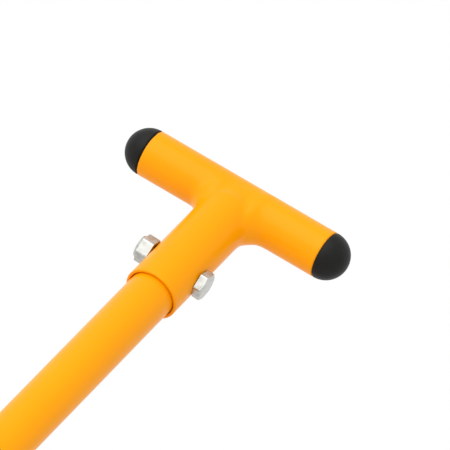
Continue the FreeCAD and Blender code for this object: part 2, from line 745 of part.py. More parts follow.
def bolt_carriers():
    """The sleeve and the cradle that the lock bolt slides in."""
    guide = turned("bolt_guide", [
        (LOCK_R + d.run_gap, 0),
        (LOCK_R + d.guide_wall, 0),
        (LOCK_R + d.guide_wall, d.guide_length),
        (LOCK_R + d.run_gap, d.guide_length),
    ])
    on_base("bolt_guide", guide, d.lock_place, -RAIL_HALF, d.hinge_height, "rotationx(90)")
    low_x = d.lock_place - d.bed_half
    block = box(low_x, d.lock_place + d.bed_half, -d.bed_back, -d.bed_front, WEB_TOP, d.bed_top)
    groove = cylinder(LOCK_R + d.run_gap, d.bed_back, d.lock_place, -d.bed_back, d.hinge_height, ALONG_Y)
    add_node("bolt_bed", cut(block, groove))


def lock_bolt():
    """The sliding bolt, with a slot across its tail for the cam pin."""
    rod = cylinder(LOCK_R, d.lock_tail - d.lock_tip, 0, -d.lock_tail, 0, ALONG_Y)
    half = d.cam_pin_d / 2 + d.slot_gap
    slot = box(-LOCK_R, LOCK_R, -SLOT_Y - half, -SLOT_Y + half, d.slot_floor - LOCK_R, LOCK_R)
    on_base("lock_bolt", cut(rod, slot), d.lock_place, 0, d.hinge_height)


def key_place(label, thing, z=0, turn=ALONG_Z):
    on_base(label, thing, KEY_X, -d.key_axis_y, z, turn)


def lock_cylinder():
    radius = d.barrel_d / 2
    bore = d.plug_d / 2 + d.run_gap
    bottom = CAM_TOP + d.side_gap
    body = turned("cylinder_body", [
        (bore, bottom),
        (radius, bottom),
        (radius, COVER_TOP),
        (d.flange_d / 2, COVER_TOP),
        (d.flange_d / 2, COVER_TOP + d.flange_thick),
        (bore, COVER_TOP + d.flange_thick),
    ])
    key_place("cylinder_body", body)
    hexagon_z = d.rail_top - d.cylinder_nut_height
    thread = cylinder(radius + d.seat_gap, d.cylinder_nut_height, z=hexagon_z)
    key_place("cylinder_nut", cut(hexagon(d.cylinder_nut_hex, d.cylinder_nut_height, hexagon_z), thread))


def key_and_plug():
    plug = cylinder(d.plug_d / 2, PLUG_TOP - CAM_TOP, z=CAM_TOP)
    half_x = d.key_blade / 2 + d.key_gap
    half_y = d.key_thick / 2 + d.key_gap
    slot = box(-half_x, half_x, -half_y, half_y, PLUG_TOP - d.key_depth - d.key_gap, PLUG_TOP)
    tapped = cylinder(d.cam_screw_d / 2 + d.seat_gap, d.cam_screw_grip, z=CAM_TOP)
    key_place("lock_plug", cut(plug, slot, tapped))
    key_half = d.key_thick / 2
    bow_z = PLUG_TOP + d.key_neck + d.key_bow / 2
    blade = box(-d.key_blade / 2, d.key_blade / 2, -key_half, key_half, PLUG_TOP - d.key_depth, bow_z)
    bow = cylinder(d.key_bow / 2, d.key_thick, 0, -key_half, bow_z, ALONG_Y)
    eye_z = bow_z + d.key_bow / 4
    eye = cylinder(d.key_hole / 2, d.key_thick, 0, -key_half, eye_z, ALONG_Y)
    key_place("key", cut(fuse(blade, bow), eye))


def cam():
    """The disc under the plug, whose pin drives the lock bolt."""
    pin_r = d.cam_pin_d / 2
    disc = cylinder(CAM_THROW + pin_r + d.cam_rim, d.cam_thick, z=d.cam_bottom)
    pin_z = d.hinge_height - LOCK_R + d.slot_floor + d.cam_pin_lead
    pin = cylinder(pin_r, d.cam_bottom - pin_z, -CAM_NEAR, -CAM_NEAR, pin_z)
    hole = cylinder(d.cam_screw_d / 2 + d.seat_gap, d.cam_thick, z=d.cam_bottom)
    key_place("drive_cam", cut(fuse(disc, pin), hole))
    head = cylinder(d.cam_screw_head_d / 2, d.cam_screw_head, z=d.cam_bottom - d.cam_screw_head)
    shank = cylinder(d.cam_screw_d / 2, d.cam_thick + d.cam_screw_grip, z=d.cam_bottom)
    key_place("cam_screw", fuse(head, shank))


# ---------------------------------------------------------------- build and export

def build():
    anchor_plate("anchor_plate_rear", -d.anchor_x / 2)
    anchor_plate("anchor_plate_front", d.anchor_x / 2)
    base_rail()
    guide_strip("guide_strip_left", 1)
    guide_strip("guide_strip_right", -1)
    rest_buffer()
    hinge()
    brace_pivot()
    post_tube()
    head_collar()
    head_weld()
    crossbar()
    head_cap("head_cap_left", 1)
    head_cap("head_cap_right", -1)
    head_bolt()
    brace()
    foot()
    lock_box()
    bolt_carriers()
    lock_bolt()
    lock_cylinder()
    key_and_plug()
    cam()
    doc.recompute()


def check_document():
    for thing in doc.Objects:
        if "Invalid" in thing.State or "Error" in thing.State:
            raise RuntimeError(f"{thing.Name} ({thing.Label}) did not recompute: {thing.State}")
    for label, thing in nodes.items():
        if thing.Shape.isNull() or not thing.Shape.isValid():
            raise RuntimeError(f"{label} has no valid shape")


def export_nodes():
    os.makedirs("parts", exist_ok=True)
    for label, thing in nodes.items():
        thing.Shape.exportStep(f"parts/{label}.step")
        solids = len(thing.Shape.Solids)
        print(f"{label}: {solids} solid(s), {thing.Shape.Volume / 1000:.2f} cm3")


build()
check_document()
export_nodes()
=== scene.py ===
# %% [markdown]
# # A fold-down parking lock
#
# The construction is finished: tubes, pins, rollers and lock already have their sizes and
# joints. This lesson gives them their looks. The main piece is the welded T-head, whose
# painted joint is too soft for a plain solid. Everything else gets rounded edges, weld
# beads and a finish of its own.

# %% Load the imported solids
import json
import math

import bmesh
import bpy
import numpy as np
from mathutils import Matrix, Vector


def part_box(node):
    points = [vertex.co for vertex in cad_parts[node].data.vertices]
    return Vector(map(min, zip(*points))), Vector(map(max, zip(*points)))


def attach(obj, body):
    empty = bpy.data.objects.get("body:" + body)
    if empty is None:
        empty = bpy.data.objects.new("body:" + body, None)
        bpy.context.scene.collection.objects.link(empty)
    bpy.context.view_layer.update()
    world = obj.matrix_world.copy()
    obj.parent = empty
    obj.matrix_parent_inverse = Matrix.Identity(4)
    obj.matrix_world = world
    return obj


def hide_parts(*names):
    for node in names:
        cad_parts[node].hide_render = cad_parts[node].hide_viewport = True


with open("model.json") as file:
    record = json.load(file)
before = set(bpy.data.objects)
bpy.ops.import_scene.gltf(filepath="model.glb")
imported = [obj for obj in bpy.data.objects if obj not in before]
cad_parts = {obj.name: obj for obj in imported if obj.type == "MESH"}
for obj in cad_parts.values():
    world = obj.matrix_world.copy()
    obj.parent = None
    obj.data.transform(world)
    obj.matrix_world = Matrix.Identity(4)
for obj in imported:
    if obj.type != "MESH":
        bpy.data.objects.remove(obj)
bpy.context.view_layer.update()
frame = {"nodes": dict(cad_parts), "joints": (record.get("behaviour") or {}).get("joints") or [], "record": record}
nodes = frame["nodes"]
joints = {joint["name"]: joint for joint in frame["joints"]}

# %% [markdown]
# ## Where the T-head is
#
# The raised post leans, so its pieces are easiest to make in the post's own directions:
# `across` the crossbar, `down` the post and `under` towards the ground. All three come from
# the solids and the joints, so the looks follow when the construction changes.

# %% The post's own directions
MM = 0.001


def middle(node):
    """The middle of a node's box."""
    low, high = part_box(node)
    return (Vector(low) + Vector(high)) / 2


def spans(node):
    """The side lengths of a node's box."""
    low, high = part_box(node)
    return Vector(high) - Vector(low)


head = middle("head_crossbar")
head.y = 0  # the crossbar sits slightly to one side of the post
hinge = Vector(joints["post_fold"]["pos_m"])
pivot = Vector(joints["brace_fold"]["pos_m"])
foot = middle("foot_axle")
ACROSS = Vector((0, -1, 0))
DOWN = (hinge - pivot).normalized()
UNDER = ACROSS.cross(DOWN)
post_frame = Matrix((ACROSS, DOWN, UNDER)).transposed()
print("crossbar middle:", [round(value, 4) for value in head])
print("post lean:", round(math.degrees(math.asin(-DOWN.z)), 2), "degrees")

# %% [markdown]
# ## The camera
#
# A long lens from four metres away keeps the tubes nearly parallel. The camera is set in
# the post's own directions, so it looks at the same side of the head at any lean.

# %% Camera
LENS_MM = 533.7
CAMERA_PLACE = Vector((1.13375, 2.53659, -2.87759))
IMAGE_RIGHT = Vector((0.8282, -0.5406727, -0.1475052))
IMAGE_DOWN = Vector((0.4833745, 0.5559460, 0.6762198))

camera_data = bpy.data.cameras.new("camera")
camera_data.lens = LENS_MM
camera_data.sensor_width = 36
camera_data.clip_end = 400
camera = bpy.data.objects.new("camera", camera_data)
bpy.context.collection.objects.link(camera)
right = (post_frame @ IMAGE_RIGHT).normalized()
up = -(post_frame @ IMAGE_DOWN).normalized()
back = right.cross(up)
turn = Matrix((right, up, back)).transposed().to_4x4()
camera.matrix_world = Matrix.Translation(head + post_frame @ CAMERA_PLACE) @ turn
bpy.context.scene.camera = camera
print("camera at", [round(value, 3) for value in camera.matrix_world.translation])

# %% [markdown]
# ## Light, floor and background
#
# Flat studio light suits powder coat: a pale sky from every side and one broad lamp. The
# lamp is high behind the camera, a little to the left. The sky looks white to the camera
# and in reflections, and is dimmer as a light, so that colours keep the level they are
# given.

# %% Sky
SKY_LIGHT = 0.78
world = bpy.data.worlds.new("studio")
bpy.context.scene.world = world
world.use_nodes = True
sky_nodes = world.node_tree.nodes
sky_links = world.node_tree.links
sky_nodes.clear()
sky_out = sky_nodes.new("ShaderNodeOutputWorld")
sky_path = sky_nodes.new("ShaderNodeLightPath")
sky_seen = sky_nodes.new("ShaderNodeBackground")
sky_lamp = sky_nodes.new("ShaderNodeBackground")
sky_mix = sky_nodes.new("ShaderNodeMixShader")
sky_glossy = sky_nodes.new("ShaderNodeMath")
sky_through = sky_nodes.new("ShaderNodeMath")
sky_glossy.operation = "MAXIMUM"
sky_through.operation = "MAXIMUM"
sky_seen.inputs["Color"].default_value = (1, 1, 1, 1)
sky_lamp.inputs["Color"].default_value = (1, 1, 1, 1)
sky_lamp.inputs["Strength"].default_value = SKY_LIGHT
sky_links.new(sky_path.outputs["Is Camera Ray"], sky_glossy.inputs[0])
sky_links.new(sky_path.outputs["Is Glossy Ray"], sky_glossy.inputs[1])
sky_links.new(sky_glossy.outputs[0], sky_through.inputs[0])
sky_links.new(sky_path.outputs["Is Transmission Ray"], sky_through.inputs[1])
sky_links.new(sky_through.outputs[0], sky_mix.inputs["Fac"])
sky_links.new(sky_lamp.outputs[0], sky_mix.inputs[1])
sky_links.new(sky_seen.outputs[0], sky_mix.inputs[2])
sky_links.new(sky_mix.outputs[0], sky_out.inputs["Surface"])
print("sky as a light:", SKY_LIGHT)

# %% Lamp
LAMP_STRENGTH = 1.8
LAMP_SPREAD = math.radians(70)
LAMP_RIGHT = -0.25
LAMP_UP = 0.75
LAMP_BACK = 0.6

lamp_data = bpy.data.lights.new("key_lamp", "SUN")
lamp_data.energy = LAMP_STRENGTH
lamp_data.angle = LAMP_SPREAD
lamp = bpy.data.objects.new("key_lamp", lamp_data)
lamp_from = right * LAMP_RIGHT + up * LAMP_UP + back * LAMP_BACK
lamp.rotation_euler = lamp_from.to_track_quat("Z", "Y").to_euler()
bpy.context.collection.objects.link(lamp)
print("lamp shines from", [round(value, 2) for value in lamp_from.normalized()])

# %% Floor
FLOOR_HALF = 60.0
floor_mesh = bpy.data.meshes.new("floor")
corners = [(-FLOOR_HALF, -FLOOR_HALF, 0), (FLOOR_HALF, -FLOOR_HALF, 0),
           (FLOOR_HALF, FLOOR_HALF, 0), (-FLOOR_HALF, FLOOR_HALF, 0)]
floor_mesh.from_pydata(corners, [], [(0, 1, 2, 3)])
floor = bpy.data.objects.new("floor", floor_mesh)
bpy.context.collection.objects.link(floor)
bpy.context.scene.view_settings.view_transform = "Standard"
print("floor half width:", FLOOR_HALF, "m")

# %% [markdown]
# ## Shared effects for the finishes
#
# A finish is believable when it is slightly uneven. One node group gives that unevenness:
# a broad noise that makes colours drift, and a fine noise for the grain. Each material
# places it with its own sizes. It could be painted by hand, but noise in the piece's own
# coordinates never stretches and needs no unwrapping.

# %% The unevenness group
BROAD_DETAIL = 3.0
BROAD_ROUGHNESS = 0.55
FINE_DETAIL = 2.0
FINE_ROUGHNESS = 0.5


def new_group(name, inputs, outputs):
    """An empty shader group with float inputs and outputs."""
    group = bpy.data.node_groups.new(name, "ShaderNodeTree")
    for label, value in inputs:
        socket = group.interface.new_socket(label, in_out="INPUT", socket_type="NodeSocketFloat")
        socket.default_value = value
    for label in outputs:
        group.interface.new_socket(label, in_out="OUTPUT", socket_type="NodeSocketFloat")
    return group, group.nodes.new("NodeGroupInput"), group.nodes.new("NodeGroupOutput")


def noise_node(tree, scale_socket, detail, roughness, coords):
    """The output of a noise texture."""
    noise = tree.nodes.new("ShaderNodeTexNoise")
    noise.inputs["Detail"].default_value = detail
    noise.inputs["Roughness"].default_value = roughness
    tree.links.new(coords, noise.inputs["Vector"])
    tree.links.new(scale_socket, noise.inputs["Scale"])
    return noise.outputs["Fac"]


def make_uneven():
    """Broad: slow colour drift. Fine: small grain. Both are 0 to 1."""
    inputs = [("Broad Scale", 20.0), ("Fine Scale", 600.0)]
    group, given, result = new_group("uneven", inputs, ["Broad", "Fine"])
    coords = group.nodes.new("ShaderNodeTexCoord").outputs["Object"]
    broad = noise_node(group, given.outputs["Broad Scale"], BROAD_DETAIL, BROAD_ROUGHNESS, coords)
    fine = noise_node(group, given.outputs["Fine Scale"], FINE_DETAIL, FINE_ROUGHNESS, coords)
    group.links.new(broad, result.inputs["Broad"])
    group.links.new(fine, result.inputs["Fine"])
    return group


uneven_group = make_uneven()
group_sockets = uneven_group.interface.items_tree
print("group outputs:", [item.name for item in group_sockets if item.in_out == "OUTPUT"])

# %% [markdown]
# ## Finishes
#
# One maker builds every finish from the same parts: a principled shader, a drift between
# two close colours, a roughness range and a bump. The differences are in the numbers:
# powder coat is smooth with a slight orange peel, bright zinc is metal with cloudy patches,
# moulded caps are satin with a fine grain.

# %% The finish maker
COLOR_DRIFT = (0.35, 0.65)
ROUGH_DRIFT = (0.3, 0.7)


def finish(name, colors, rough, metallic, scales, bump_mm, specular=0.5):
    """A material whose colour and roughness drift between two values, with a fine bump."""
    material = bpy.data.materials.new(name)
    material.use_nodes = True
    tree = material.node_tree
    shader = tree.nodes["Principled BSDF"]
    shader.inputs["Metallic"].default_value = metallic
    shader.inputs["Specular IOR Level"].default_value = specular
    uneven = tree.nodes.new("ShaderNodeGroup")
    uneven.node_tree = uneven_group
    uneven.inputs["Broad Scale"].default_value = scales[0]
    uneven.inputs["Fine Scale"].default_value = scales[1]
    ramp = tree.nodes.new("ShaderNodeValToRGB")
    for element, position, color in zip(ramp.color_ramp.elements, COLOR_DRIFT, colors):
        element.position = position
        element.color = (*color, 1)
    tree.links.new(uneven.outputs["Broad"], ramp.inputs["Fac"])
    tree.links.new(ramp.outputs["Color"], shader.inputs["Base Color"])
    spread = tree.nodes.new("ShaderNodeMapRange")
    spread.inputs["From Min"].default_value = ROUGH_DRIFT[0]
    spread.inputs["From Max"].default_value = ROUGH_DRIFT[1]
    spread.inputs["To Min"].default_value = rough[0]
    spread.inputs["To Max"].default_value = rough[1]
    tree.links.new(uneven.outputs["Broad"], spread.inputs["Value"])
    tree.links.new(spread.outputs["Result"], shader.inputs["Roughness"])
    bump = tree.nodes.new("ShaderNodeBump")
    bump.inputs["Distance"].default_value = bump_mm * MM
    bump.inputs["Strength"].default_value = 1.0
    tree.links.new(uneven.outputs["Fine"], bump.inputs["Height"])
    tree.links.new(bump.outputs["Normal"], shader.inputs["Normal"])
    return material


print("finish maker ready: colours drift over", COLOR_DRIFT, "of the broad noise")

# %% The finishes
# Each entry gives two close colours, then a roughness range, metallic, the broad and the
# fine noise scale, and the bump in millimetres.
PAINT = finish("yellow_powder_coat", [(0.98, 0.350, 0.0003), (1.0, 0.366, 0.0006)],
               (0.27, 0.34), 0.0, (9, 420), 0.02, specular=0.12)
CAP = finish("black_moulding", [(0.008, 0.008, 0.0072), (0.013, 0.013, 0.012)],
             (0.42, 0.54), 0.0, (60, 1500), 0.02, specular=0.15)
ZINC = finish("bright_zinc", [(0.44, 0.44, 0.41), (0.62, 0.62, 0.59)],
              (0.24, 0.42), 1.0, (260, 1400), 0.02)
GALVANISED = finish("galvanised_plate", [(0.46, 0.47, 0.48), (0.60, 0.61, 0.61)],
                    (0.55, 0.7), 0.75, (90, 700), 0.02)
NYLON = finish("white_nylon", [(0.70, 0.69, 0.65), (0.78, 0.77, 0.73)],
               (0.38, 0.5), 0.0, (50, 900), 0.02)
RUBBER = finish("buffer_rubber", [(0.018, 0.018, 0.018), (0.035, 0.034, 0.033)],
                (0.7, 0.85), 0.0, (45, 800), 0.06)
BRASS = finish("key_brass", [(0.62, 0.45, 0.19), (0.76, 0.58, 0.28)],
               (0.22, 0.38), 1.0, (120, 1500), 0.015)
CHROME = finish("cylinder_chrome", [(0.70, 0.70, 0.71), (0.80, 0.80, 0.80)],
                (0.08, 0.16), 1.0, (90, 900), 0.005)
FLOOR = finish("studio_floor", [(0.86, 0.86, 0.86), (0.88, 0.88, 0.88)],
               (0.85, 0.92), 0.0, (0.4, 60), 0.05, specular=0.1)
floor_mesh.materials.append(FLOOR)
SLOT_FINISH = {
    "yellow_paint": PAINT,
    "black_cap": CAP,
    "zinc_steel": ZINC,
    "galvanised_steel": GALVANISED,
    "nylon": NYLON,
    "buffer_rubber": RUBBER,
    "lock_brass": BRASS,
    "chrome": CHROME,
}
print("finishes:", [material.name for material in SLOT_FINISH.values()])

# %% [markdown]
# ## Making and turning pieces
#
# Most pieces of a bicycle, a lamp or a lock are turned: an outline swept round an axis.
# Blender can spin a curve, but a short function that lays the rings down directly gives
# clean quads and full control of the rounded corners, so the outline's corners are rounded
# first and the rings follow.

# %% Outline helper
CORNER_SHARE = 0.45


def rounded(points, radius, steps=4, closed=True):
    """Replace each corner of an outline with a small arc, which leaves some of each side."""
    count = len(points)
    result = []
    for index, corner in enumerate(points):
        corner = Vector(corner)
        if not closed and index in (0, count - 1):
            result.append(tuple(corner))
            continue
        before = Vector(points[index - 1]) - corner
        after = Vector(points[(index + 1) % count]) - corner
        cut = min(radius, before.length * CORNER_SHARE, after.length * CORNER_SHARE)
        start = corner + before.normalized() * cut
        end = corner + after.normalized() * cut
        for step in range(steps + 1):
            part = step / steps
            point = start * (1 - part) ** 2 + corner * 2 * part * (1 - part) + end * part ** 2
            result.append(tuple(point))
    return result


print("a rounded square has", len(rounded([(0, 0), (1, 0), (1, 1), (0, 1)], 0.2)), "points")

# %% Piece helpers
def add_piece(name, verts, faces, body, slot, replaces=(), smooth_angle=40):
    """Make a mesh object, smooth it, give it its finish and let it ride on its body."""
    mesh = bpy.data.meshes.new(name)
    mesh.from_pydata([tuple(vert) for vert in verts], [], faces)
    piece = bpy.data.objects.new(name, mesh)
    bpy.context.collection.objects.link(piece)
    shell = bmesh.new()
    shell.from_mesh(mesh)
    bmesh.ops.remove_doubles(shell, verts=shell.verts, dist=1e-6)
    bmesh.ops.recalc_face_normals(shell, faces=shell.faces)
    for face in shell.faces:
        face.smooth = True
    for edge in shell.edges:
        if len(edge.link_faces) == 2 and edge.calc_face_angle(0) > math.radians(smooth_angle):
            edge.smooth = False
    shell.to_mesh(mesh)
    shell.free()
    mesh.materials.append(SLOT_FINISH[slot])
    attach(piece, body)
    if replaces:
        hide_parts(*replaces)
    return piece


def axis_frame(origin, direction, hint=None):
    """A matrix whose Z axis points along a direction, with X as near to the hint as it can be."""
    z = Vector(direction).normalized()
    if hint is None:
        hint = Vector((0, 0, 1)) if abs(z.z) < 0.9 else Vector((1, 0, 0))
    x = (hint - z * hint.dot(z)).normalized()
    return Matrix.Translation(origin) @ Matrix((x, z.cross(x), z)).transposed().to_4x4()


def lathe_mesh(outline, place, segments=96, closed=True):
    """Sweep (radius, height) points in millimetres round the Z axis of a place."""
    verts = []
    faces = []
    rings = len(outline)
    for step in range(segments):
        angle = 2 * math.pi * step / segments
        for radius, height in outline:
            local = Vector((radius * math.cos(angle), radius * math.sin(angle), height)) * MM
            verts.append(place @ local)
    last = rings if closed else rings - 1
    for step in range(segments):
        here = step * rings
        there = (step + 1) % segments * rings
        for ring in range(last):
            following = (ring + 1) % rings
            faces.append((here + ring, there + ring, there + following, here + following))
    return verts, faces


test_faces = lathe_mesh([(1, 0), (2, 0), (2, 1)], Matrix(), segments=8)[1]
print("a turned test ring has", len(test_faces), "faces")

# %% [markdown]
# ## The welded head as one skin
#
# Two tubes, a weld and thick powder coat make a joint with no sharp line in it. A boolean
# would leave a hard seam, and a voxel remesh would melt the collar's thin mouth. So the
# shape is written as a distance formula. The collar is wider than the crossbar, so it
# tapers as it enters. A soft minimum joins the two with a fillet, and the weld is a rippled
# swelling along that fillet. Then both bores, the bolt's seats and its hole are cut out.
#
# A grid finds the surface, and each point is then moved along the slope until it lies on
# it. The collar's wall is a little thicker here than in the solid, so that the gap round
# the post shows as a thin dark line.

# %% Sizes of the head, read from its solids
def reach(node, direction):
    """How far a node's mesh goes from the crossbar's middle in a direction, in millimetres."""
    flat = np.empty(len(nodes[node].data.vertices) * 3)
    nodes[node].data.vertices.foreach_get("co", flat)
    offsets = flat.reshape(-1, 3) - np.array(head)
    return float((offsets @ np.array(direction)).max()) / MM


BAR_R = spans("head_crossbar").x / 2 / MM
BAR_HALF = spans("head_crossbar").y / 2 / MM
BAR_SHIFT = middle("head_crossbar").y / MM
COLLAR_R = spans("head_collar").y / 2 / MM
MOUTH = reach("head_collar", DOWN)
nut_across, BOLT_DOWN, nut_under = post_frame.transposed() @ (middle("head_nut") - head) / MM
BOLT_TURN = math.atan2(-nut_under, -nut_across)
print("crossbar radius", round(BAR_R, 2), "half length", round(BAR_HALF, 2), "mouth at", round(MOUTH, 2))
print("bolt", round(BOLT_DOWN, 2), "mm down, turned", round(math.degrees(BOLT_TURN), 2), "degrees")

# %% Sizes of the joint, in millimetres
# Distances along the post count from the crossbar's axis. The collar's bore ends and its
# taper begins at COLLAR_END. The fillet widens towards both sides, and more on one of them.
TUBE_WALL = 2.0
COLLAR_WALL = 2.0
COLLAR_TOP = 1.0
COLLAR_END = 12.0
RAMP_SLOPE = 0.31
FILLET_MIDDLE = 5.0
FILLET_SIDES = 9.0
FILLET_ONE_SIDE = 3.0
WELD_RIPPLES = 26
WELD_RIPPLE_MM = 0.09
WELD_TOP_MM = 0.5
WELD_SIDE_MM = 2.6
WELD_SPREAD = 20.0
SEAT_R = 8.5
BOLT_SEAT = COLLAR_R - 0.6
BOLT_HOLE_R = 5.25

# How far each edge is rounded.
RAMP_ROUND = 1.5
COLLAR_TOP_ROUND = 3.0
BAR_RIM = 0.7
BAR_BORE_RIM = 0.3
MOUTH_RIM = 0.9
MOUTH_BORE_RIM = 0.5
SEAT_RIM = 1.2
BOLT_HOLE_RIM = 0.2
print("bolt seats", round(BOLT_SEAT, 2), "mm from the post's axis")


# %% The distance formula
def soft_min(first, second, width):
    """The smaller of two distances, with a fillet about as wide as `width`."""
    part = np.clip(1 - np.abs(first - second) / width, 0, 1)
    return np.minimum(first, second) - part ** 3 * width / 6


def soft_max(first, second, width):
    return -soft_min(-first, -second, width)


def fade(value, low, high):
    """Rises smoothly from 0 at `low` to 1 at `high`."""
    part = np.clip((value - low) / (high - low), 0, 1)
    return part * part * (3 - 2 * part)


def joined_tubes(across, down, under):
    """Distance to the crossbar and the collar, joined by a fillet with the weld along it."""
    bar = np.hypot(down, under) - BAR_R
    ramp = RAMP_SLOPE * soft_max(COLLAR_END - down, np.zeros_like(down), RAMP_ROUND)
    collar = np.hypot(across, under) - COLLAR_R + ramp
    bar_solid = soft_max(bar, np.abs(across + BAR_SHIFT) - BAR_HALF, BAR_RIM)
    collar_solid = soft_max(collar, COLLAR_TOP - down, COLLAR_TOP_ROUND)
    collar_solid = soft_max(collar_solid, down - MOUTH, MOUTH_RIM)
    sideways = fade(np.abs(across), 7.0, 17.0)
    fillet = FILLET_MIDDLE + FILLET_SIDES * sideways + FILLET_ONE_SIDE * fade(across, 0.0, 16.0)
    near_weld = np.exp(-(bar ** 2 + collar ** 2) / WELD_SPREAD) * fade(down, -2.0, 5.0)
    ripple = WELD_RIPPLE_MM * np.sin(np.arctan2(across, under) * WELD_RIPPLES)
    swelling = WELD_TOP_MM + (WELD_SIDE_MM - WELD_TOP_MM) * sideways
    return soft_min(bar_solid, collar_solid, fillet) + (ripple - swelling) * near_weld


def head_distance(points):
    """Signed distance, in millimetres, to the painted head: (across, down, under) points."""
    across, down, under = points.T
    skin = joined_tubes(across, down, under)
    from_bar_axis = np.hypot(down, under)
    along_bolt = across * math.cos(BOLT_TURN) + under * math.sin(BOLT_TURN)
    side = under * math.cos(BOLT_TURN) - across * math.sin(BOLT_TURN)
    from_bolt = np.hypot(down - BOLT_DOWN, side)
    past_seat = np.clip(from_bolt - SEAT_R, 0, None)
    dent = BOLT_SEAT + 0.02 * past_seat ** 2 + 0.001 * past_seat ** 3
    skin = soft_max(skin, np.abs(along_bolt) - dent, SEAT_RIM)
    skin = soft_max(skin, BAR_R - TUBE_WALL - from_bar_axis, BAR_BORE_RIM)
    bore = np.maximum(np.hypot(across, under) - (COLLAR_R - COLLAR_WALL), BAR_R - from_bar_axis)
    bore = np.maximum(bore, COLLAR_END - down)
    skin = soft_max(skin, -bore, MOUTH_BORE_RIM)
    in_the_middle = np.abs(along_bolt) < BAR_R * 0.5
    return soft_max(skin, BOLT_HOLE_R - from_bolt - 99 * in_the_middle, BOLT_HOLE_RIM)


centre_line = np.array([[0.0, 0.0, 0.0], [0.0, MOUTH / 2, 0.0]])
print("distance on the axes:", head_distance(centre_line).round(2))

# %% A grid that finds the surface
CELL = 0.8


def grid_surface(distance, low, high, cell):
    """Quads through every grid cell where the distance changes sign."""
    counts = [int(math.ceil((top - bottom) / cell)) + 1 for bottom, top in zip(low, high)]
    lines = [bottom + cell * np.arange(count) for bottom, count in zip(low, counts)]
    mesh_points = np.stack(np.meshgrid(*lines, indexing="ij"), axis=-1).reshape(-1, 3)
    inside = (distance(mesh_points) < 0).reshape(counts)
    total = np.zeros([count - 1 for count in counts], dtype=int)
    for i in (0, 1):
        for j in (0, 1):
            for k in (0, 1):
                total += inside[i:counts[0] - 1 + i, j:counts[1] - 1 + j, k:counts[2] - 1 + k]
    crossed = (total > 0) & (total < 8)
    numbers = -np.ones(crossed.shape, dtype=int)
    numbers[crossed] = np.arange(crossed.sum())
    verts = np.array(low) + (np.argwhere(crossed) + 0.5) * cell
    faces = []
    for axis in range(3):
        first, second = [other for other in range(3) if other != axis]
        lower = [slice(None)] * 3
        upper = [slice(None)] * 3
        lower[axis] = slice(0, -1)
        upper[axis] = slice(1, None)
        changed = inside[tuple(lower)] != inside[tuple(upper)]
        spots = np.argwhere(changed)
        keep = (spots[:, first] > 0) & (spots[:, second] > 0)
        spots = spots[keep]
        quad = []
        for a, b in ((1, 1), (0, 1), (0, 0), (1, 0)):
            cell_index = spots.copy()
            cell_index[:, first] -= a
            cell_index[:, second] -= b
            quad.append(numbers[tuple(cell_index.T)])
        faces.append(np.stack(quad, axis=1))
    return verts, np.concatenate(faces)


print("cells are", CELL, "mm wide")

# %% Points moved onto the surface
EVENING = 0.6
SETTLING_ROUNDS = 2
LEAST_SLOPE = 0.2


def slope(distance, points, step=0.02):
    """The gradient of a distance at each point."""
    result = np.empty_like(points)
    for axis in range(3):
        shift = np.zeros(3)
        shift[axis] = step
        result[:, axis] = (distance(points + shift) - distance(points - shift)) / (2 * step)
    return result


def relax(verts, faces, distance, rounds=6):
    """Even out the quads and put every point on the surface."""
    edges = np.concatenate([faces[:, [a, (a + 1) % 4]] for a in range(4)])
    for turn_number in range(rounds):
        if turn_number < rounds - SETTLING_ROUNDS:
            sums = np.zeros_like(verts)
            counts = np.zeros(len(verts))
            for a, b in ((0, 1), (1, 0)):
                np.add.at(sums, edges[:, a], verts[edges[:, b]])
                np.add.at(counts, edges[:, a], 1)
            verts = verts * (1 - EVENING) + sums / counts[:, None] * EVENING
        for _ in range(2):
            gradient = slope(distance, verts)
            length = np.maximum((gradient ** 2).sum(axis=1, keepdims=True), LEAST_SLOPE)
            verts = verts - distance(verts)[:, None] * gradient / length
    return verts


MARGIN = 4.0
low = (-BAR_HALF - BAR_SHIFT - MARGIN, -BAR_R - MARGIN, -COLLAR_R - MARGIN)
high = (BAR_HALF - BAR_SHIFT + MARGIN, MOUTH + MARGIN, COLLAR_R + MARGIN)
skin_points, skin_faces = grid_surface(head_distance, low, high, CELL)
skin_points = relax(skin_points, skin_faces, head_distance)


def in_post_frame(points):
    """(across, down, under) points in millimetres to places in the scene."""
    return np.array(head) + (np.asarray(points) * MM) @ np.array(post_frame).T


head_skin = add_piece("head_skin", in_post_frame(skin_points), skin_faces.tolist(), "post",
                      "yellow_paint", replaces=("head_crossbar", "head_collar", "head_weld"),
                      smooth_angle=180)
print("head skin:", len(skin_points), "points, farthest", round(float(
    np.abs(head_distance(skin_points)).max()), 3), "mm off the formula")

# %% [markdown]
# ## The domed caps
#
# Each tube end is closed by a moulded plug. Its dome is as wide as the tube and stands off
# on a slightly narrower neck, which makes the thin dark line between plug and paint. The
# plug is a turned outline with three ribs on its shank.

# %% Caps
CAP_GAP = 0.8
CAP_NECK_R = 14.2
CAP_RIB_R = 12.9
CAP_CORE_R = 11.9
CAP_SHANK = 20.0
RIB_WIDTH = 2.5
RIB_SPACING = 5.0
DOME_STEPS = 28


